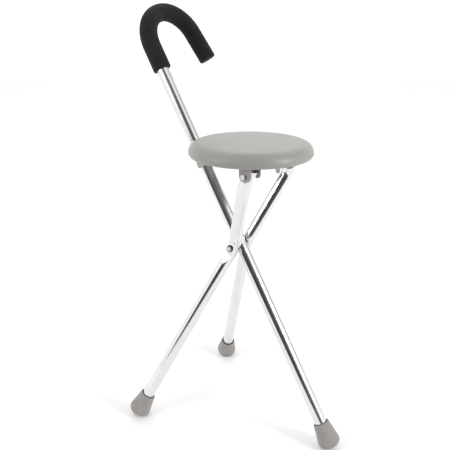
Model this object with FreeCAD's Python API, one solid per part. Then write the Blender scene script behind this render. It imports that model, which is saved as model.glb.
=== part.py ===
import FreeCAD, Part
import math
import os

os.makedirs("parts", exist_ok=True)
V = FreeCAD.Vector

# ---------------------------------------------------------------- dimensions
# tubes (7/8 inch aluminium tube)
TUBE_R = 11.1
WALL = 1.5
BORE_R = TUBE_R - WALL

# hub: where the three tubes cross on one bolt, bolt along X
HUB_Y = 19.5
HUB_Z = 345.5
MAIN_TILT = 31.05          # lean of the long tube, top towards +Y
LEG_TILT = 22.5            # lean of both legs, top towards -Y
STACK = 21.2               # tube centre to tube centre along the bolt
FLAT = 10.0                # half thickness of each tube where it is pressed flat
FLAT_HALF = 9.0            # half length of the flat on the long tube
RAMP_END = 30.0            # where the pressed flat has faded out

# long tube and crook
FOOT_AXIS_Z = 23.4         # height of the ferrule's dome centre above the floor
CROOK_START = 390.4        # hub to first bend, along the tube
CROOK_R1, CROOK_A1 = 67.9, 84.65
CROOK_R2, CROOK_A2 = 55.1, 84.65
CROOK_TIP = 60.0           # straight tip after the bends, to the foam's end
CROOK_TURN = 88.1          # the crook is turned this much about the tube, towards +X
GRIP_R = 16.4
GRIP_START = 344.7         # hub to the foam's lower end
GRIP_CAP = 4.0

# legs
LEG_BEND_R = 45.0          # dog-leg bend at the hub
LEG_TOP_BEND_R = 34.0
PIN_D = 161.5              # hub bolt to seat pin, along the leg
PIN_X = 64.5               # seat pin leg centre from the middle plane
PIN_STRAIGHT = 25.5        # pin to the top bend
LEG_FOOT_X = 134.9         # leg centre from the middle plane at the ferrule
LEG_END = 11.1             # rounded end beyond the pin

# bolts
BOLT_R = 3.0
RUN_HOLE_R = 3.06
HEAD_AF = 8.0
HEAD_H = 3.6
NUT_AF = 10.0
NUT_H = 6.0
HUB_HEAD_R = 4.1
HUB_WASHER_R = 6.4
HUB_WASHER_T = 1.5
SPACER_R = 7.6

# seat
SEAT_R = 106.2
SEAT_H = 533.4
SEAT_DOME = 3.0            # height of the middle above SEAT_H
SEAT_T = 4.0
TOP_R = 83.9               # where the top starts to roll over into the rim
TOP_EDGE = 1.5             # height there
WIDE_Z = 515.8             # height of the widest line of the rim
LIP_Z = 509.8              # lowest edge of the rim
RIM_T = 3.4
PAD_Z = 526.4              # flat underside of the three fixing pads
RIB_Z = 528.4

# brackets
SHEET = 2.5
EAR_GAP = 23.2
EAR_W = 22.6
EAR_SHIFT = -1.6           # middle of the ear in front of the pin
EAR_BELOW = 9.3            # outer ears, fully rounded
EAR_ROUND = 11.2
IN_EAR_BELOW = {-1: 5.8, 1: 11.4}   # the inner ears differ
IN_EAR_ROUND = {-1: 5.0, 1: 9.5}
FORK_GAP = 22.8
TAB_X = 18.6               # hanging tab: face nearest the middle plane
TAB_Y = -42.6
TAB_W = 8.4
TAB_Z = 481.0              # its rounded lower end
SCREW_HEAD_R = 3.9
SCREW_HEAD_H = 2.3
SCREW_R = 1.9

# ferrules
FER_DOME_R = 24.0
FER_MAX_R = 19.8           # at the crease where the bell meets the dome
FER_CREASE = -8.6          # height of the widest line, from the dome centre
FER_MOUTH_R = 14.1
FER_MOUTH_GAP = 1.2        # the mouth stands a little off the tube
FER_TOP = 25.0
FER_SEAT = -8.0            # tube end inside the ferrule, along its axis
DISC_T = 1.5
DISC_R = 10.6

# the origin is on the floor under the middle of the whole object
FRAME_SHIFT_Y = -36.2

# ---------------------------------------------------------------- directions
mt = math.radians(MAIN_TILT)
lt = math.radians(LEG_TILT)
MAIN_UP = V(0, math.sin(mt), math.cos(mt))
MAIN_NU = V(0, -math.cos(mt), math.sin(mt))
LEG_UP = V(0, -math.sin(lt), math.cos(lt))
LEG_SIDE = V(0, math.cos(lt), math.sin(lt))
HUB = V(0, HUB_Y, HUB_Z)
X = V(1, 0, 0)
Z = V(0, 0, 1)
PIN = HUB + LEG_UP * PIN_D


def save(name, shape):
    shape = shape.copy()
    shape.translate(V(0, FRAME_SHIFT_Y, 0))
    shape.exportStep("parts/" + name + ".step")


def cyl(p0, p1, r0, r1=None):
    d = p1 - p0
    if r1 is None or abs(r1 - r0) < 1e-9:
        return Part.makeCylinder(r0, d.Length, p0, d)
    return Part.makeCone(r0, r1, d.Length, p0, d)


def bend(p0, tangent, centre, axis, angle, r):
    """a round bar bent about an axis, from p0 through angle degrees"""
    disc = Part.Face(Part.Wire(Part.makeCircle(r, p0, tangent)))
    return disc.revolve(centre, axis, angle)


def rotate(p, centre, axis, angle):
    rot = FreeCAD.Rotation(axis, angle)
    return centre + rot.multVec(p - centre)


def fuse_all(shapes):
    out = shapes[0].fuse(shapes[1:]) if len(shapes) > 1 else shapes[0]
    out = out.removeSplitter()
    if out.ShapeType == "Compound" and len(out.Solids) == 1:
        out = out.Solids[0]
    return out


def single(shape):
    return shape.Solids[0] if len(shape.Solids) == 1 else shape


def prism(points, normal_depth, origin, ax, ay, an, curves=None):
    """closed outline in the (ax, ay) plane, extruded along an, centred"""
    pts = [origin + ax * a + ay * b - an * (normal_depth / 2.0) for a, b in points]
    wire = Part.makePolygon(pts + [pts[0]])
    return Part.Face(wire).extrude(an * normal_depth)


def bezier(points, origin, ax, ay):
    c = Part.BezierCurve()
    c.setPoles([origin + ax * a + ay * b for a, b in points])
    return c.toShape()


def ramp_cutter(origin, along, out, side, flat_half, level, end, end_level, top):
    """block above a pressed flat: flat in the middle, smooth ramps up to both ends"""
    o = origin - side * 20.0

    def seg(p, q):
        return Part.makeLine(o + along * p[0] + out * p[1], o + along * q[0] + out * q[1])

    right = bezier(
        [(flat_half, level), (flat_half + 6, level), (end - 6, end_level - 0.4), (end, end_level)],
        o, along, out)
    left = bezier(
        [(-end, end_level), (-end + 6, end_level - 0.4), (-flat_half - 6, level), (-flat_half, level)],
        o, along, out)
    wire = Part.Wire([
        left,
        seg((-flat_half, level), (flat_half, level)),
        right,
        seg((end, end_level), (end, top)),
        seg((end, top), (-end, top)),
        seg((-end, top), (-end, end_level)),
    ])
    return Part.Face(wire).extrude(side * 40.0)


# ---------------------------------------------------------------- long tube
def main_path(r, tip_back, start_along, low_extra):
    """solid bar following the long tube's centre line"""
    foot = HUB - MAIN_UP * ((HUB_Z - FOOT_AXIS_Z) / MAIN_UP.z)
    nu = FreeCAD.Rotation(MAIN_UP, CROOK_TURN).multVec(MAIN_NU)
    axis = nu.cross(MAIN_UP) * -1.0
    a = HUB + MAIN_UP * CROOK_START
    c1 = a + nu * CROOK_R1
    parts = []
    begin = foot + MAIN_UP * (FER_SEAT - low_extra) if start_along is None else HUB + MAIN_UP * start_along
    parts.append(cyl(begin, a, r))
    parts.append(bend(a, MAIN_UP, c1, axis, CROOK_A1, r))
    b = rotate(a, c1, axis, CROOK_A1)
    t1 = FreeCAD.Rotation(axis, CROOK_A1).multVec(MAIN_UP)
    n1 = FreeCAD.Rotation(axis, CROOK_A1).multVec(nu)
    c2 = b + n1 * CROOK_R2
    parts.append(bend(b, t1, c2, axis, CROOK_A2, r))
    e = rotate(b, c2, axis, CROOK_A2)
    t2 = FreeCAD.Rotation(axis, CROOK_A2).multVec(t1)
    end = e + t2 * (CROOK_TIP - tip_back)
    parts.append(cyl(e, end, r))
    return fuse_all(parts), begin, end, t2


def drill(p, axis, r, length):
    return Part.makeCylinder(r, length, p - axis * (length / 2.0), axis)


main_out, m_begin, m_end, m_dir = main_path(TUBE_R, GRIP_CAP, None, 0.0)
main_in, _, _, _ = main_path(BORE_R, GRIP_CAP - 2.0, None, 2.0)
for s in (1, -1):
    out = X * s
    main_out = main_out.cut(
        ramp_cutter(HUB, MAIN_UP, out, MAIN_NU, FLAT_HALF, FLAT, RAMP_END, TUBE_R + 1.4, 30))
    main_in = main_in.cut(
        ramp_cutter(HUB, MAIN_UP, out, MAIN_NU, FLAT_HALF, FLAT - WALL, RAMP_END, BORE_R + 1.4, 30))
main_tube = main_out.cut(main_in).cut(drill(HUB, X, BOLT_R + 0.03, 60))
save("main_tube", single(main_tube))

# ---------------------------------------------------------------- foam grip
grip_out, g_begin, g_end, g_dir = main_path(GRIP_R, 0.0, GRIP_START, 0.0)
edges = []
for e in grip_out.Edges:
    if isinstance(e.Curve, Part.Circle) and abs(e.Curve.Radius - GRIP_R) < 1e-3:
        c = e.Curve.Center
        if (c - g_end).Length < 0.5 or (c - g_begin).Length < 0.5:
            edges.append(((c - g_end).Length < 0.5, e))
grip_out = grip_out.makeFillet(3.4, [e for at_tip, e in edges if at_tip])
low = [e for e in grip_out.Edges
       if isinstance(e.Curve, Part.Circle) and abs(e.Curve.Radius - GRIP_R) < 1e-3
       and (e.Curve.Center - g_begin).Length < 0.5]
grip_out = grip_out.makeFillet(2.4, low)
grip_in, _, _, _ = main_path(TUBE_R, GRIP_CAP, GRIP_START - 5.0, 0.0)
grip = grip_out.cut(grip_in)
save("grip_sleeve", single(grip))


# ---------------------------------------------------------------- legs
def solve_angle(target_d, target_v, bend_r):
    lo, hi = math.radians(2), math.radians(40)
    for _ in range(80):
        a = (lo + hi) / 2
        v = STACK + bend_r * (1 - math.cos(a)) + (target_d - bend_r * math.sin(a)) * math.tan(a)
        if v < target_v:
            lo = a
        else:
            hi = a
    return (lo + hi) / 2


D_FOOT = (HUB_Z - FOOT_AXIS_Z) / LEG_UP.z
A_UP = solve_angle(PIN_D - PIN_STRAIGHT, PIN_X, LEG_BEND_R)
A_LOW = solve_angle(D_FOOT, LEG_FOOT_X, LEG_BEND_R)


def leg_frame(side):
    out = X * side
    c0 = HUB + out * STACK
    up_dir = LEG_UP * math.cos(A_UP) + out * math.sin(A_UP)
    low_dir = LEG_UP * -math.cos(A_LOW) + out * math.sin(A_LOW)
    foot = HUB - LEG_UP * D_FOOT + out * LEG_FOOT_X
    return out, c0, up_dir, low_dir, foot


def leg_path(side, r, end_extra, low_extra):
    out, c0, up_dir, low_dir, foot = leg_frame(side)
    centre = c0 + out * LEG_BEND_R
    axis = LEG_SIDE * side          # turning LEG_UP towards out
    test = FreeCAD.Rotation(axis, 10).multVec(LEG_UP)
    if test.dot(out) < 0:
        axis = axis * -1.0
    parts = []
    # upper half of the dog-leg, straight, top bend, pin end
    a_up = math.degrees(A_UP)
    a_low = math.degrees(A_LOW)
    parts.append(bend(c0, LEG_UP, centre, axis, a_up, r))
    p1 = rotate(c0, centre, axis, a_up)
    corner = HUB + LEG_UP * (PIN_D - PIN_STRAIGHT) + out * PIN_X
    back = LEG_TOP_BEND_R * math.tan(A_UP / 2)
    p3 = corner - up_dir * back
    parts.append(cyl(p1, p3, r))
    inward = (out * math.cos(A_UP) - LEG_UP * math.sin(A_UP)) * -1.0
    c3 = p3 + inward * LEG_TOP_BEND_R
    parts.append(bend(p3, up_dir, c3, axis * -1.0, a_up, r))
    p4 = rotate(p3, c3, axis * -1.0, a_up)
    p5 = HUB + LEG_UP * (PIN_D + LEG_END + end_extra) + out * PIN_X
    parts.append(cyl(p4, p5, r))
    # lower half
    parts.append(bend(c0, LEG_UP * -1.0, centre, axis * -1.0, a_low, r))
    q1 = rotate(c0, centre, axis * -1.0, a_low)
    q2 = foot - low_dir * (FER_SEAT - low_extra)
    parts.append(cyl(q1, q2, r))
    return fuse_all(parts)


def round_end(shape, side, r):
    """round the pin end about the pin"""
    out = X * side
    pin = PIN + out * PIN_X
    far = Part.makeBox(60, 60, 60, V(-30, -30, 0))
    rot = FreeCAD.Rotation(Z, LEG_UP)
    far.Placement = FreeCAD.Placement(pin, rot)
    keep = Part.makeCylinder(r, 60, pin - X * 30, X)
    return shape.cut(far.cut(keep))


for name, side in (("leg_left", -1), ("leg_right", 1)):
    out, c0, up_dir, low_dir, foot = leg_frame(side)
    outer = leg_path(side, TUBE_R, 0.0, 0.0)
    inner = leg_path(side, BORE_R, 2.0, 2.0)
    for body, skin in ((0, 0.0), (1, WALL)):
        inner_face = STACK - FLAT + skin
        slab = prism([(-40, -20), (40, -20), (40, inner_face), (-40, inner_face)], 60,
                     HUB, LEG_UP, out, LEG_SIDE)
        # the block above the flat on the side away from the long tube
        r_here = TUBE_R if body == 0 else BORE_R
        ramp = ramp_cutter(HUB, LEG_UP, out, LEG_SIDE, 9.0, STACK + FLAT - skin,
                           RAMP_END, STACK + 6.3 + r_here + 1.2, 60)
        if body == 0:
            outer = outer.cut(slab).cut(ramp)
        else:
            inner = inner.cut(slab).cut(ramp)
    leg = outer.cut(inner)
    leg = round_end(leg, side, LEG_END)
    leg = leg.cut(drill(HUB + out * STACK, X, BOLT_R + 0.06, 50))
    pin_c = PIN + out * PIN_X
    leg = leg.cut(drill(pin_c, X, RUN_HOLE_R, 50))
    save(name, single(leg))

    # moulded plug in the top end
    plug = cyl(pin_c - LEG_UP * 17.0, pin_c + LEG_UP * (LEG_END + 2.0), BORE_R)
    plug = round_end(plug, side, LEG_END).cut(drill(pin_c, X, RUN_HOLE_R, 50))
    save("leg_plug_" + ("left" if side < 0 else "right"), single(plug))


# ---------------------------------------------------------------- fasteners
def hexagon(centre, axis, af, height, chamfer=0.6):
    """hexagonal prism with the corners turned off"""
    r = af / math.sqrt(3.0)
    ref = Z if abs(axis.dot(Z)) < 0.9 else V(0, 1, 0)
    e1 = axis.cross(ref)
    e1.normalize()
    e2 = axis.cross(e1)
    pts = [centre + e1 * (r * math.cos(math.radians(60 * k))) + e2 * (r * math.sin(math.radians(60 * k)))
           for k in range(7)]
    body = Part.Face(Part.makePolygon(pts)).extrude(axis * height)
    turned = Part.makeCone(af / 2 + 3.0, af / 2 - 0.15, height * 0.0 + (3.15 * 0.55),
                           centre + axis * (height - 3.15 * 0.55), axis)
    straight = Part.makeCylinder(af / 2 + 3.0, height - 3.15 * 0.55, centre, axis)
    return body.common(straight.fuse(turned))


def washer(p, axis, r_out, r_in, t):
    return Part.makeCylinder(r_out, t, p, axis).cut(Part.makeCylinder(r_in, t + 2, p - axis, axis))


HEAD_X = STACK + FLAT + HUB_WASHER_T
# hub bolt: domed head to the left (-X)
shank = Part.makeCylinder(BOLT_R, 2 * HEAD_X + NUT_H + 2.4, V(-HEAD_X, HUB_Y, HUB_Z), X)
dome = Part.makeCylinder(HUB_HEAD_R, 1.2, V(-HEAD_X - 1.2, HUB_Y, HUB_Z), X)
ball_r = (HUB_HEAD_R ** 2 + 2.4 ** 2) / (2 * 2.4)
cap = Part.makeSphere(ball_r, V(-HEAD_X - 1.2 - 2.4 + ball_r, HUB_Y, HUB_Z))
cap = cap.common(Part.makeCylinder(HUB_HEAD_R, 6.0, V(-HEAD_X - 7.2, HUB_Y, HUB_Z), X))
cap = cap.cut(Part.makeBox(40, 40, 40, V(-HEAD_X - 1.2, HUB_Y - 20, HUB_Z - 20)))
hub_bolt = fuse_all([shank, dome, cap])
save("hub_bolt", single(hub_bolt))

nut = hexagon(V(HEAD_X, HUB_Y, HUB_Z), X, NUT_AF, NUT_H - 1.2)
nut = nut.fuse(Part.makeCylinder(4.4, 1.4, V(HEAD_X + NUT_H - 1.4, HUB_Y, HUB_Z), X))
nut = nut.cut(Part.makeCylinder(BOLT_R, 20, V(HEAD_X - 2, HUB_Y, HUB_Z), X)).removeSplitter()
save("hub_nut", single(nut))

save("hub_spacers", Part.makeCompound([
    washer(V(FLAT, HUB_Y, HUB_Z), X, SPACER_R, BOLT_R + 0.06, STACK - 2 * FLAT - 0.04),
    washer(V(-FLAT, HUB_Y, HUB_Z), X * -1, SPACER_R, BOLT_R + 0.06, STACK - 2 * FLAT - 0.04)]))
save("hub_washers", Part.makeCompound([
    washer(V(HEAD_X, HUB_Y, HUB_Z), X * -1, HUB_WASHER_R, BOLT_R + 0.06, HUB_WASHER_T - 0.04),
    washer(V(-HEAD_X, HUB_Y, HUB_Z), X, HUB_WASHER_R, BOLT_R + 0.06, HUB_WASHER_T - 0.04)]))

# ---------------------------------------------------------------- seat
O = V(0, 0, 0)


def P(r, z):
    return V(r, 0, SEAT_H + z)


R = SEAT_R
WIDE = WIDE_Z - SEAT_H     # heights below are counted from SEAT_H
LOW = LIP_Z - SEAT_H
FULL = 0.6125              # how full the rolled shoulder is


def roll(r0, z0, r1, z1):
    """quarter turn from level at (r0, z0) to plumb at (r1, z1)"""
    c = Part.BezierCurve()
    c.setPoles([P(r0, z0), P(r0 + FULL * (r1 - r0), z0 - 0.3), P(r1, z1 + FULL * (z0 - z1)), P(r1, z1)])
    return c.toShape()


def line(*rz):
    return Part.makeLine(P(*rz[:2]), P(*rz[2:]))


IN_Z = TOP_EDGE - SEAT_T
outline = [
    Part.Arc(P(0, SEAT_DOME), P(42, SEAT_DOME - 0.38), P(TOP_R, TOP_EDGE)).toShape(),
    roll(TOP_R, TOP_EDGE, R, WIDE),
    line(R, WIDE, R, WIDE - 0.4),
    Part.Arc(P(R, WIDE - 0.4), P(R - 0.3, WIDE - 0.85), P(R - 0.9, WIDE - 1.0)).toShape(),
    Part.BezierCurve(),
    line(R - 4.6, LOW, R - 5.2, LOW),
    Part.Arc(P(R - 5.2, LOW), P(R - 6.12, LOW + 0.38), P(R - 6.5, LOW + 1.3)).toShape(),
    line(R - 6.5, LOW + 1.3, R - RIM_T, WIDE + 3.0),
    Part.BezierCurve(),
    line(TOP_R, IN_Z, 0, SEAT_DOME - SEAT_T),
    line(0, SEAT_DOME - SEAT_T, 0, SEAT_DOME),
]
# the lip below the step turns in under the rim
outline[4].setPoles([P(R - 0.9, WIDE - 1.0), P(R - 1.3, WIDE - 3.0), P(R - 2.6, LOW), P(R - 4.6, LOW)])
outline[4] = outline[4].toShape()
outline[8].setPoles([P(R - RIM_T, WIDE + 3.0), P(R - RIM_T, WIDE + 3.0 + 0.55 * (IN_Z - WIDE - 3.0)),
                     P(TOP_R + 0.62 * (R - RIM_T - TOP_R), IN_Z), P(TOP_R, IN_Z)])
outline[8] = outline[8].toShape()
shell = Part.Face(Part.Wire(outline)).revolve(O, Z, 360)
if shell.ShapeType != "Solid":
    shell = Part.makeSolid(shell) if not shell.Solids else shell.Solids[0]

UNDER = SEAT_H - 2.0       # ribs run a little way into the plate
ribs = []
for r_mid in (30.0, 66.0):
    ribs.append(Part.makeCylinder(r_mid + 1.3, UNDER - RIB_Z, V(0, 0, RIB_Z)).cut(
        Part.makeCylinder(r_mid - 1.3, UNDER - RIB_Z, V(0, 0, RIB_Z))))
for k in range(12):
    a = math.radians(15 + 30 * k)
    bar = Part.makeBox(R - 8.5 - 30.0, 2.4, UNDER - RIB_Z, V(30.0, -1.2, RIB_Z))
    bar.rotate(O, Z, math.degrees(a))
    ribs.append(bar)
rib = ribs[0].fuse(ribs[1:])
# clear the ribs where the brackets and their ears are
for x0, x1, y0, y1 in (
        (PIN_X - 23, PIN_X + 19, PIN.y - 19, PIN.y + 17),
        (-PIN_X - 19, -PIN_X + 23, PIN.y - 19, PIN.y + 17),
        (-19, 19, 55, 96),
        (TAB_X - 6.0, TAB_X + 20.0, TAB_Y - 10.0, TAB_Y + 10.0)):
    rib = rib.cut(Part.makeBox(x1 - x0, y1 - y0, 30, V(x0, y0, RIB_Z - 5)))
shell = shell.fuse(rib)
# flat pads for the brackets
for x0, x1, y0, y1 in (
        (PIN_X - 15.6, PIN_X + 15.6, PIN.y + EAR_SHIFT - 13.5, PIN.y + EAR_SHIFT + 13.5),
        (-PIN_X - 15.6, -PIN_X + 15.6, PIN.y + EAR_SHIFT - 13.5, PIN.y + EAR_SHIFT + 13.5),
        (-17, 17, 57, 94),
        (TAB_X - 4.0, TAB_X + 18.0, TAB_Y - 8.0, TAB_Y + 8.0)):
    pad = Part.makeBox(x1 - x0, y1 - y0, UNDER - PAD_Z, V(x0, y0, PAD_Z))
    pad = pad.makeFillet(4.0, [e for e in pad.Edges if abs(e.tangentAt(e.FirstParameter).z) > 0.99])
    shell = shell.fuse(pad)
shell = shell.removeSplitter()
SCREWS = ([(s * PIN_X, PIN.y + EAR_SHIFT + d) for s in (-1, 1) for d in (-6.5, 6.5)]
          + [(0.0, 66.0), (0.0, 82.0), (TAB_X + 10.5, TAB_Y)])
for x, y in SCREWS:
    shell = shell.cut(Part.makeCylinder(SCREW_R, 3.6, V(x, y, PAD_Z - 0.5)))
save("seat_shell", single(shell))


# ---------------------------------------------------------------- brackets
def outline_solid(points, x0, x1, fillets=None):
    """outline in the YZ plane, extruded along X"""
    pts = [V(x0, y, z) for y, z in points]
    return Part.Face(Part.makePolygon(pts + [pts[0]])).extrude(V(x1 - x0, 0, 0))


def fillet_x_edges(shape, table):
    """round edges that run along X, picked by their (y, z) position"""
    for (y, z), r in table:
        es = [e for e in shape.Edges
              if abs(abs(e.tangentAt(e.FirstParameter).x) - 1) < 1e-6
              and abs(e.Vertexes[0].Y - y) < 0.05 and abs(e.Vertexes[0].Z - z) < 0.05]
        if es:
            shape = shape.makeFillet(r, es)
    return shape


def soften(shape, x_abs, z_top, r):
    """outside bend of the channel, along Y"""
    es = [e for e in shape.Edges
          if abs(abs(e.tangentAt(e.FirstParameter).y) - 1) < 1e-6
          and abs(e.Vertexes[0].Z - z_top) < 0.05
          and min(abs(e.Vertexes[0].X - x) for x in x_abs) < 0.05]
    return shape.makeFillet(r, es) if es else shape


for name, side in (("bracket_left", -1), ("bracket_right", 1)):
    cx = side * PIN_X
    y0, y1 = PIN.y + EAR_SHIFT - EAR_W / 2, PIN.y + EAR_SHIFT + EAR_W / 2
    half = EAR_GAP / 2 + SHEET

    def ear_block(below, r, xa, xb):
        z = PIN.z - below
        b = outline_solid([(y0, PAD_Z), (y1, PAD_Z), (y1, z), (y0, z)], min(xa, xb), max(xa, xb))
        return fillet_x_edges(b, [((y0, z), r), ((y1, z), r)])

    block = fuse_all([ear_block(EAR_BELOW, EAR_ROUND, cx, cx + side * half),
                      ear_block(IN_EAR_BELOW[side], IN_EAR_ROUND[side], cx, cx - side * half)])
    block = soften(block, (cx - half, cx + half), PAD_Z, 2.6)
    EAR_Z = PIN.z - 12
    hollow = outline_solid([(y0 - 5, PAD_Z - SHEET), (y1 + 5, PAD_Z - SHEET), (y1 + 5, EAR_Z - 5),
                            (y0 - 5, EAR_Z - 5)], cx - EAR_GAP / 2, cx + EAR_GAP / 2)
    bracket = block.cut(hollow)
    bracket = bracket.cut(drill(V(cx, PIN.y, PIN.z), X, BOLT_R + 0.03, 60))
    for x, y in SCREWS:
        if abs(x - cx) < 1:
            bracket = bracket.cut(Part.makeCylinder(2.1, 10, V(x, y, PAD_Z - 6)))
    save(name, single(bracket))

half = FORK_GAP / 2 + SHEET
ear = [(59.0, PAD_Z), (93.5, PAD_Z), (93.5, 507.5), (112.0, 500.5), (110.4, 487.0), (104.6, 473.0),
       (90.6, 481.3), (84.0, 506.0), (59.0, 516.0)]
block = outline_solid(ear, -half, half)
block = fillet_x_edges(block, [((104.6, 473.0), 3.6), ((90.6, 481.3), 5.0), ((112.0, 500.5), 4.0),
                               ((110.4, 487.0), 12.0), ((93.5, 507.5), 3.0), ((84.0, 506.0), 8.0),
                               ((59.0, 516.0), 4.0)])
block = soften(block, (-half, half), PAD_Z, 2.6)
hollow = outline_solid([(50, PAD_Z - SHEET), (130, PAD_Z - SHEET), (130, 460), (50, 460)],
                       -FORK_GAP / 2, FORK_GAP / 2)
fork = block.cut(hollow)
# the plate across the top stops short of the long tube
for x, y in SCREWS[4:6]:
    fork = fork.cut(Part.makeCylinder(2.1, 10, V(x, y, PAD_Z - 6)))
save("tube_fork", single(fork))

# hanging tab right of the middle: an angle strap with a rounded end
y0, y1 = TAB_Y - TAB_W / 2, TAB_Y + TAB_W / 2
strap = outline_solid([(y0, PAD_Z), (y1, PAD_Z), (y1, TAB_Z), (y0, TAB_Z)], TAB_X, TAB_X + SHEET)
strap = fillet_x_edges(strap, [((y0, TAB_Z), TAB_W / 2 - 0.1), ((y1, TAB_Z), TAB_W / 2 - 0.1)])
foot_plate = Part.makeBox(15.5, TAB_W, SHEET, V(TAB_X, y0, PAD_Z - SHEET))
strap = fuse_all([strap, foot_plate])
strap = soften(strap, (TAB_X,), PAD_Z, 2.0)
strap = strap.cut(Part.makeCylinder(2.1, 10, V(TAB_X + 10.5, TAB_Y, PAD_Z - 6)))
save("side_tab", single(strap))

screws = []
for x, y in SCREWS:
    zh = PAD_Z - SHEET
    shank = Part.makeCylinder(SCREW_R, SHEET + 3.0, V(x, y, zh))
    head = Part.makeCylinder(SCREW_HEAD_R, SCREW_HEAD_H, V(x, y, zh - SCREW_HEAD_H))
    head = head.makeFillet(1.3, [e for e in head.Edges if abs(e.Vertexes[0].Z - (zh - SCREW_HEAD_H)) < 0.01
                                 and isinstance(e.Curve, Part.Circle)])
    slot = Part.makeBox(4.2, 0.9, 1.3, V(x - 2.1, y - 0.45, zh - SCREW_HEAD_H - 0.1))
    slot2 = Part.makeBox(0.9, 4.2, 1.3, V(x - 0.45, y - 2.1, zh - SCREW_HEAD_H - 0.1))
    screws.append(single(fuse_all([shank, head]).cut(slot).cut(slot2)))
save("bracket_screws", Part.makeCompound(screws))

bolts, nuts = [], []
for side in (-1, 1):
    out = X * side
    face_out = V(0, PIN.y, PIN.z) + out * (PIN_X + EAR_GAP / 2 + SHEET)
    face_in = V(0, PIN.y, PIN.z) + out * (PIN_X - EAR_GAP / 2 - SHEET)
    head = hexagon(face_out, out, HEAD_AF, HEAD_H)
    shank = Part.makeCylinder(BOLT_R, EAR_GAP + 2 * SHEET + NUT_H + 1.8, face_out, out * -1)
    bolts.append(single(fuse_all([head, shank])))
    n = hexagon(face_in, out * -1, NUT_AF, NUT_H - 1.2)
    n = n.fuse(Part.makeCylinder(4.4, 1.4, face_in - out * (NUT_H - 1.4), out * -1))
    n = n.cut(Part.makeCylinder(BOLT_R, 20, face_in + out * 2, out * -1)).removeSplitter()
    nuts.append(single(n))
save("pin_bolts", Part.makeCompound(bolts))
save("pin_nuts", Part.makeCompound(nuts))


# ---------------------------------------------------------------- ferrules
def ferrule(name, foot, up):
    """rubber tip about the tube axis; foot is the dome centre"""
    def q(r, z):
        return V(r, 0, z)

    r_dome = FER_MAX_R - 2.6
    zb = -math.sqrt(FER_DOME_R ** 2 - r_dome ** 2)
    mid = math.asin(r_dome / FER_DOME_R) / 2
    slope = (FER_MAX_R - FER_MOUTH_R) / (FER_TOP - FER_CREASE)
    b = Part.BezierCurve()
    b.setPoles([q(r_dome, zb), q(r_dome + 1.9, zb + 2.0), q(FER_MAX_R + 0.5, FER_CREASE - 3.6),
                q(FER_MAX_R - slope * 1.4, FER_CREASE + 1.4)])
    edges = [
        Part.Arc(q(0, -FER_DOME_R), q(FER_DOME_R * math.sin(mid), -FER_DOME_R * math.cos(mid)),
                 q(r_dome, zb)).toShape(),
        b.toShape(),
        Part.makeLine(q(FER_MAX_R - slope * 1.4, FER_CREASE + 1.4), q(FER_MOUTH_R + slope * 0.7, FER_TOP - 0.7)),
        Part.Arc(q(FER_MOUTH_R + slope * 0.7, FER_TOP - 0.7), q(FER_MOUTH_R - 0.25, FER_TOP - 0.12),
                 q(FER_MOUTH_R - 0.7, FER_TOP)).toShape(),
        Part.makeLine(q(FER_MOUTH_R - 0.7, FER_TOP), q(TUBE_R + FER_MOUTH_GAP, FER_TOP - 0.3)),
        Part.makeLine(q(TUBE_R + FER_MOUTH_GAP, FER_TOP - 0.3), q(TUBE_R + FER_MOUTH_GAP * 0.7, FER_TOP - 4.5)),
        Part.makeLine(q(TUBE_R + FER_MOUTH_GAP * 0.7, FER_TOP - 4.5), q(TUBE_R, FER_TOP - 6.0)),
        Part.makeLine(q(TUBE_R, FER_TOP - 6.0), q(TUBE_R, FER_SEAT - DISC_T)),
        Part.makeLine(q(TUBE_R, FER_SEAT - DISC_T), q(0, FER_SEAT - DISC_T)),
        Part.makeLine(q(0, FER_SEAT - DISC_T), q(0, -FER_DOME_R)),
    ]
    body = Part.Face(Part.Wire(edges)).revolve(O, Z, 360)
    if body.ShapeType != "Solid":
        body = body.Solids[0]
    place = FreeCAD.Placement(foot, FreeCAD.Rotation(Z, up))
    body.Placement = place
    floor = Part.makeBox(200, 200, 60, V(foot.x - 100, foot.y - 100, -60))
    body = body.cut(floor)
    save("ferrule_" + name, single(body))
    disc = Part.makeCylinder(DISC_R, DISC_T - 0.1, V(0, 0, FER_SEAT - DISC_T + 0.05))
    disc.Placement = place
    save("ferrule_disc_" + name, disc)


ferrule("main", HUB - MAIN_UP * ((HUB_Z - FOOT_AXIS_Z) / MAIN_UP.z), MAIN_UP)
for name, side in (("left", -1), ("right", 1)):
    out, c0, up_dir, low_dir, foot = leg_frame(side)
    ferrule(name, foot, low_dir * -1.0)
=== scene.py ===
import math

import bmesh
import bpy
from mathutils import Matrix, Quaternion, Vector

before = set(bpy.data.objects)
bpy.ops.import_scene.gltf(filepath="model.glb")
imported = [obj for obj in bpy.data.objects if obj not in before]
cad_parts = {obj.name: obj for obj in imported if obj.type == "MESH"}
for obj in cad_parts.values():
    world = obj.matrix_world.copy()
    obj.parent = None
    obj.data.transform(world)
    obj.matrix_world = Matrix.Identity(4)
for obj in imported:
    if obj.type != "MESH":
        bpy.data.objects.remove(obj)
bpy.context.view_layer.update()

MM = 0.001
S = bpy.context.scene

# ------------------------------------------------------------------ the object's main lines, mm
SHIFT_Y = -36.2
HUB = Vector((0, 19.5 + SHIFT_Y, 345.5))
MAIN_TILT = math.radians(31.05)
LEG_TILT = math.radians(22.5)
MAIN_UP = Vector((0, math.sin(MAIN_TILT), math.cos(MAIN_TILT)))
MAIN_NU = Vector((0, -math.cos(MAIN_TILT), math.sin(MAIN_TILT)))
LEG_UP = Vector((0, -math.sin(LEG_TILT), math.cos(LEG_TILT)))
LEG_SIDE = Vector((0, math.cos(LEG_TILT), math.sin(LEG_TILT)))
X = Vector((1, 0, 0))
TUBE_R = 11.1
FLAT = 10.0
STACK = 21.2


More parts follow.
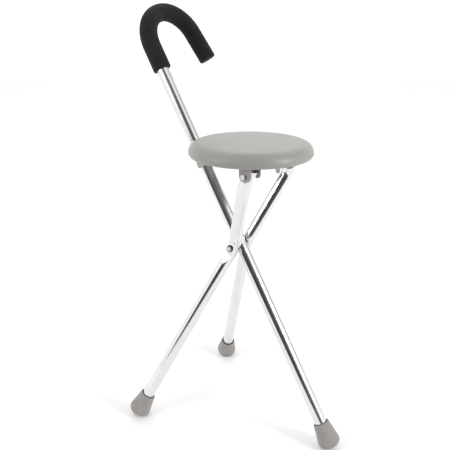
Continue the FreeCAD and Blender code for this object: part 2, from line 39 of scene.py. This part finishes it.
# ------------------------------------------------------------------ node helpers
class Mat:
    """a small builder for procedural materials"""

    def __init__(self, name):
        self.m = bpy.data.materials.new(name)
        self.m.use_nodes = True
        self.t = self.m.node_tree
        self.t.nodes.clear()
        self.out = self.t.nodes.new("ShaderNodeOutputMaterial")
        self.b = self.t.nodes.new("ShaderNodeBsdfPrincipled")
        self.t.links.new(self.b.outputs[0], self.out.inputs["Surface"])

    def new(self, kind, **values):
        n = self.t.nodes.new(kind)
        for k, v in values.items():
            if k.startswith("in_"):
                n.inputs[k[3:].replace("_", " ")].default_value = v
            else:
                setattr(n, k, v)
        return n

    def link(self, a, b):
        self.t.links.new(a, b)
        return b

    def coords(self, scale=(1, 1, 1), rotation=(0, 0, 0), uv=False):
        tc = self.new("ShaderNodeTexCoord")
        mp = self.new("ShaderNodeMapping")
        mp.inputs["Scale"].default_value = scale
        mp.inputs["Rotation"].default_value = rotation
        self.link(tc.outputs["UV" if uv else "Object"], mp.inputs["Vector"])
        return mp.outputs["Vector"]

    def noise(self, vec, scale, detail=3.0, rough=0.5, distortion=0.0):
        n = self.new("ShaderNodeTexNoise")
        n.inputs["Scale"].default_value = scale
        n.inputs["Detail"].default_value = detail
        n.inputs["Roughness"].default_value = rough
        n.inputs["Distortion"].default_value = distortion
        self.link(vec, n.inputs["Vector"])
        return n.outputs["Fac"]

    def voronoi(self, vec, scale, feature="F1", randomness=1.0):
        n = self.new("ShaderNodeTexVoronoi", feature=feature)
        n.inputs["Scale"].default_value = scale
        n.inputs["Randomness"].default_value = randomness
        self.link(vec, n.inputs["Vector"])
        return n.outputs["Distance"]

    def ramp(self, fac, stops):
        n = self.new("ShaderNodeValToRGB")
        els = n.color_ramp.elements
        while len(els) < len(stops):
            els.new(0.5)
        for e, (p, c) in zip(els, stops):
            e.position = p
            e.color = (*c, 1.0) if not isinstance(c, (int, float)) else (c, c, c, 1.0)
        self.link(fac, n.inputs["Fac"])
        return n.outputs["Color"]

    def remap(self, fac, lo, hi, a=0.0, b=1.0):
        n = self.new("ShaderNodeMapRange")
        n.inputs["From Min"].default_value = a
        n.inputs["From Max"].default_value = b
        n.inputs["To Min"].default_value = lo
        n.inputs["To Max"].default_value = hi
        self.link(fac, n.inputs["Value"])
        return n.outputs["Result"]

    def math(self, op, a, b=None):
        n = self.new("ShaderNodeMath", operation=op)
        for i, v in enumerate((a, b)):
            if v is None:
                continue
            if isinstance(v, (int, float)):
                n.inputs[i].default_value = v
            else:
                self.link(v, n.inputs[i])
        return n.outputs[0]

    def mix(self, fac, a, b):
        n = self.new("ShaderNodeMix", data_type="RGBA")
        if isinstance(fac, (int, float)):
            n.inputs[0].default_value = fac
        else:
            self.link(fac, n.inputs[0])
        for i, v in ((6, a), (7, b)):
            if isinstance(v, tuple):
                n.inputs[i].default_value = (*v, 1.0)
            else:
                self.link(v, n.inputs[i])
        return n.outputs[2]

    def bump(self, height, strength, distance, normal=None):
        n = self.new("ShaderNodeBump")
        n.inputs["Strength"].default_value = strength
        n.inputs["Distance"].default_value = distance
        self.link(height, n.inputs["Height"])
        if normal is not None:
            self.link(normal, n.inputs["Normal"])
        return n.outputs["Normal"]

    def set(self, **values):
        for k, v in values.items():
            sock = self.b.inputs[k.replace("_", " ")]
            if isinstance(v, (int, float)):
                sock.default_value = v
            elif isinstance(v, tuple):
                sock.default_value = (*v, 1.0)
            else:
                self.link(v, sock)
        return self.m


# ------------------------------------------------------------------ materials
def tube_metal(name, rotation):
    """polished drawn aluminium: faint draw lines along the tube, faint handling marks"""
    k = Mat(name)
    along = k.coords(scale=(1.0, 1.0, 0.02), rotation=rotation)
    lines = k.noise(along, 900.0, 3.0, 0.6)
    fine = k.noise(along, 2600.0, 2.0, 0.6)
    blotch = k.noise(k.coords(), 38.0, 4.0, 0.55)
    smudge = k.noise(k.coords(), 9.0, 3.0, 0.5, 0.4)
    rough = k.math("ADD", k.remap(blotch, 0.07, 0.13, 0.3, 0.7), k.remap(lines, 0.0, 0.05, 0.35, 0.75))
    rough = k.math("ADD", rough, k.remap(smudge, -0.01, 0.03, 0.4, 0.7))
    colour = k.ramp(k.math("ADD", k.math("MULTIPLY", lines, 0.5), k.math("MULTIPLY", blotch, 0.5)),
                    [(0.3, (0.725, 0.718, 0.722)), (0.7, (0.80, 0.788, 0.793))])
    h = k.math("ADD", k.math("MULTIPLY", lines, 0.6), k.math("MULTIPLY", fine, 0.4))
    return k.set(Base_Color=colour, Metallic=1.0, Roughness=rough, Normal=k.bump(h, 0.06, 0.0002))


def foam(name):
    k = Mat(name)
    c = k.coords()
    cells = k.voronoi(c, 1500.0)
    pores = k.noise(c, 900.0, 4.0, 0.65)
    broad = k.noise(c, 60.0, 3.0, 0.5)
    scuff = k.noise(c, 14.0, 4.0, 0.6, 0.6)
    colour = k.ramp(k.math("ADD", k.math("MULTIPLY", pores, 0.6), k.math("MULTIPLY", broad, 0.4)),
                    [(0.30, (0.009, 0.009, 0.0095)), (0.52, (0.015, 0.0146, 0.015)), (0.75, (0.026, 0.0248, 0.0252))])
    rough = k.remap(scuff, 0.80, 0.95, 0.3, 0.7)
    h = k.math("ADD", k.math("MULTIPLY", cells, 0.55), k.math("MULTIPLY", pores, 0.6))
    n1 = k.bump(broad, 0.25, 0.0012)
    return k.set(Base_Color=colour, Roughness=rough, Specular_IOR_Level=0.18, Sheen_Weight=0.04,
                 Sheen_Roughness=0.5, Normal=k.bump(h, 0.55, 0.00035, n1))


def seat_plastic(name):
    k = Mat(name)
    c = k.coords()
    grain = k.voronoi(c, 900.0, "SMOOTH_F1")
    fine = k.noise(c, 1900.0, 2.0, 0.6)
    flow = k.noise(c, 11.0, 3.0, 0.5, 0.3)
    speck = k.noise(c, 260.0, 3.0, 0.6)
    colour = k.ramp(k.math("ADD", k.math("MULTIPLY", flow, 0.7), k.math("MULTIPLY", speck, 0.3)),
                    [(0.30, (0.292, 0.291, 0.272)), (0.70, (0.327, 0.326, 0.306))])
    rough = k.math("ADD", k.remap(flow, 0.30, 0.38, 0.3, 0.7), k.remap(speck, -0.03, 0.04, 0.3, 0.7))
    h = k.math("ADD", k.math("MULTIPLY", grain, 0.7), k.math("MULTIPLY", fine, 0.3))
    return k.set(Base_Color=colour, Roughness=rough, Specular_IOR_Level=0.28, Normal=k.bump(h, 0.16, 0.00025))


def paint(name, base):
    k = Mat(name)
    c = k.coords()
    peel = k.noise(c, 420.0, 3.0, 0.5)
    dust = k.noise(c, 70.0, 4.0, 0.6)
    wear = k.noise(c, 30.0, 5.0, 0.65, 0.5)
    lo = tuple(v * 0.86 for v in base)
    hi = tuple(v * 1.12 for v in base)
    colour = k.ramp(dust, [(0.35, lo), (0.68, hi)])
    rough = k.remap(wear, 0.30, 0.46, 0.3, 0.7)
    return k.set(Base_Color=colour, Metallic=0.1, Roughness=rough, Normal=k.bump(peel, 0.14, 0.0003))


def steel(name, base=(0.60, 0.60, 0.60), rough0=0.24):
    k = Mat(name)
    c = k.coords()
    turn = k.noise(k.coords(scale=(1.0, 0.15, 0.15)), 2400.0, 3.0, 0.6)
    spot = k.noise(c, 240.0, 4.0, 0.6)
    colour = k.ramp(spot, [(0.32, tuple(v * 0.86 for v in base)), (0.66, tuple(min(1, v * 1.14) for v in base))])
    rough = k.math("ADD", k.remap(turn, rough0 - 0.05, rough0 + 0.06, 0.3, 0.7), k.remap(spot, -0.03, 0.05, 0.3, 0.7))
    return k.set(Base_Color=colour, Metallic=1.0, Roughness=rough, Normal=k.bump(turn, 0.12, 0.00015))


def nylon(name, base=(0.020, 0.020, 0.021)):
    k = Mat(name)
    c = k.coords()
    mould = k.noise(c, 1300.0, 2.0, 0.5)
    flow = k.noise(c, 120.0, 3.0, 0.5)
    colour = k.ramp(flow, [(0.35, tuple(v * 0.8 for v in base)), (0.65, tuple(v * 1.35 for v in base))])
    return k.set(Base_Color=colour, Roughness=k.remap(flow, 0.40, 0.52, 0.3, 0.7), Normal=k.bump(mould, 0.12, 0.0002))


def rubber(name, base=(0.285, 0.271, 0.255)):
    k = Mat(name)
    c = k.coords()
    skin = k.noise(c, 1500.0, 3.0, 0.6)
    bloom = k.noise(c, 55.0, 4.0, 0.6, 0.3)
    scuff = k.noise(c, 210.0, 4.0, 0.65)
    colour = k.ramp(k.math("ADD", k.math("MULTIPLY", bloom, 0.7), k.math("MULTIPLY", scuff, 0.3)),
                    [(0.32, tuple(v * 0.88 for v in base)), (0.68, tuple(v * 1.10 for v in base))])
    rough = k.remap(scuff, 0.58, 0.76, 0.3, 0.7)
    return k.set(Base_Color=colour, Roughness=rough, Specular_IOR_Level=0.42, Normal=k.bump(skin, 0.18, 0.0003))


M_MAIN = tube_metal("tube_main", (MAIN_TILT, 0, 0))
M_LEG = tube_metal("tube_leg", (-LEG_TILT, 0, 0))
M_FOAM = foam("foam")
M_SEAT = seat_plastic("seat_plastic")
M_PAINT = paint("bracket_paint", (0.335, 0.315, 0.310))
M_TAB = paint("tab_zinc", (0.62, 0.62, 0.632))
M_STEEL = steel("fastener")
M_DARK = nylon("black_nylon")
M_PLUG = nylon("plug_plastic", (0.16, 0.16, 0.155))
M_RUBBER = rubber("ferrule_rubber")

ASSIGN = {
    "main_tube": M_MAIN, "leg_left": M_LEG, "leg_right": M_LEG,
    "grip_sleeve": M_FOAM, "seat_shell": M_SEAT,
    "bracket_left": M_PAINT, "bracket_right": M_PAINT, "tube_fork": M_PAINT,
    "side_tab": M_TAB, "bracket_screws": M_STEEL, "pin_bolts": M_STEEL, "pin_nuts": M_STEEL, "hub_bolt": M_STEEL, "hub_nut": M_STEEL,
    "hub_spacers": M_DARK, "hub_washers": M_DARK, "leg_plug_left": M_PLUG, "leg_plug_right": M_PLUG,
    "ferrule_main": M_RUBBER, "ferrule_left": M_RUBBER, "ferrule_right": M_RUBBER,
    "ferrule_disc_main": M_STEEL, "ferrule_disc_left": M_STEEL, "ferrule_disc_right": M_STEEL,
}
for node, mat in ASSIGN.items():
    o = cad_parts[node]
    for s in o.material_slots:
        s.material = mat


# ------------------------------------------------------------------ studio
def plane(name, corners, mat):
    me = bpy.data.meshes.new(name)
    me.from_pydata([Vector(c) for c in corners], [], [tuple(range(len(corners)))])
    ob = bpy.data.objects.new(name, me)
    S.collection.objects.link(ob)
    me.materials.append(mat)
    return ob


def floor_mat():
    k = Mat("floor")
    n = k.noise(k.coords(), 3.0, 3.0, 0.5)
    col = k.ramp(n, [(0.3, (0.955, 0.945, 0.95)), (0.7, (0.97, 0.96, 0.965))])
    return k.set(Base_Color=col, Roughness=0.7, Specular_IOR_Level=0.2)


CAM = Vector((-0.8114, -0.5686 + SHIFT_Y * MM, 0.7306))
FW = Vector((0.74855, 0.57534, -0.32965)).normalized()
FWH = Vector((FW.x, FW.y, 0)).normalized()
RT = Vector((FWH.y, -FWH.x, 0))
C0 = Vector((0, SHIFT_Y * MM, 0))


def at(fwd, right, z):
    """a point by distance behind the seat (away from the camera), to the right, and height"""
    p = C0 + FWH * fwd + RT * right
    return (p.x, p.y, z)


plane("floor", [at(-0.85, -4, 0), at(-0.85, 0.05, 0), at(-0.62, 0.3, 0), at(-0.62, 4, 0), at(6, 4, 0), at(6, -4, 0)], floor_mat())

# soft sources
def area(name, pos, target, size, power, spread=180.0, size_y=None):
    d = bpy.data.lights.new(name, "AREA")
    d.shape = "RECTANGLE" if size_y else "SQUARE"
    d.size = size
    if size_y:
        d.size_y = size_y
    d.energy = power
    d.spread = math.radians(spread)
    o = bpy.data.objects.new(name, d)
    o.location = pos
    o.rotation_euler = (Vector(target) - Vector(pos)).to_track_quat("-Z", "Y").to_euler()
    S.collection.objects.link(o)
    return o


w = bpy.data.worlds.new("studio")
S.world = w
w.use_nodes = True
nt = w.node_tree
nt.nodes.clear()
wo = nt.nodes.new("ShaderNodeOutputWorld")
bg = nt.nodes.new("ShaderNodeBackground")
# a white room with a darker ceiling
wt = nt.nodes.new("ShaderNodeTexCoord")
ws = nt.nodes.new("ShaderNodeSeparateXYZ")
wr = nt.nodes.new("ShaderNodeMapRange")
wr.interpolation_type = "SMOOTHSTEP"
wr.inputs["From Min"].default_value = 0.70
wr.inputs["From Max"].default_value = 0.97
wr.inputs["To Min"].default_value = 1.13
wr.inputs["To Max"].default_value = 0.45
nt.links.new(wt.outputs["Generated"], ws.inputs[0])
nt.links.new(ws.outputs["Z"], wr.inputs["Value"])
nt.links.new(wr.outputs["Result"], bg.inputs["Strength"])
bg.inputs["Color"].default_value = (1.0, 1.0, 1.0, 1.0)
nt.links.new(bg.outputs[0], wo.inputs["Surface"])


def black_card(name, corners, value=0.02):
    k = Mat(name)
    n = k.noise(k.coords(), 2.0, 2.0, 0.5)
    col = k.ramp(n, [(0.3, (value, value, value)), (0.7, (value * 1.3, value * 1.3, value * 1.3))])
    k.set(Base_Color=col, Roughness=0.9, Specular_IOR_Level=0.1)
    o = plane(name, corners, k.m)
    o.visible_camera = False
    return o


# the dark room behind the camera: the pale floor ends in front of the object, and the room's
# far wall is cut off at the top by the slope of the ceiling
def wall(name, points, value):
    return black_card(name, [at(-2.6, r, z) for r, z in points], value)


black_card("room_floor", [at(-0.62, -1.5, -0.02), at(-0.62, 1.0, -0.02), at(-2.6, 2.0, -0.02), at(-2.6, -4.8, -0.02),
                          at(-1.4, -2.9, -0.02)], 0.07)
wall("room_wall", [(-4.8, -0.1), (-4.4, 0.5), (-1.7, 1.25), (0.75, 1.25), (0.75, -0.1)], 0.06)
wall("room_wall_high", [(-1.7, 1.25), (-1.0, 2.4), (-0.1, 3.4), (0.75, 3.7), (0.75, 1.25)], 0.11)
wall("room_wall_right", [(0.75, -0.1), (0.75, 3.7), (1.7, 4.0), (1.95, 2.0), (2.0, -0.1)], 0.26)
black_card("grey_flat", [at(0.25, 2.2, 0), at(-0.35, 2.2, 2.7), at(0.3, 2.2, 3.0), at(2.6, 2.2, 3.0), at(2.6, 2.2, 0)], 0.52)

area("key", at(-1.45, 2.45, 1.25), at(0, 0, 0.5), 0.8, 44.0, size_y=0.8)
area("fill", at(-1.7, -3.0, 1.5), at(0, 0, 0.5), 0.9, 36.0, size_y=0.9)
area("back", at(3.2, 0.0, 3.0), at(3.4, 0, 0), 3.0, 40.0, size_y=5.0)

# ------------------------------------------------------------------ camera
cd = bpy.data.cameras.new("camera")
cd.sensor_width = 36.0
cd.lens = 595.35 / 450.0 * 36.0
co = bpy.data.objects.new("camera", cd)
co.location = CAM
co.rotation_euler = FW.to_track_quat("-Z", "Y").to_euler()
S.collection.objects.link(co)
S.camera = co
S.view_settings.view_transform = "Standard"
S.view_settings.look = "None"
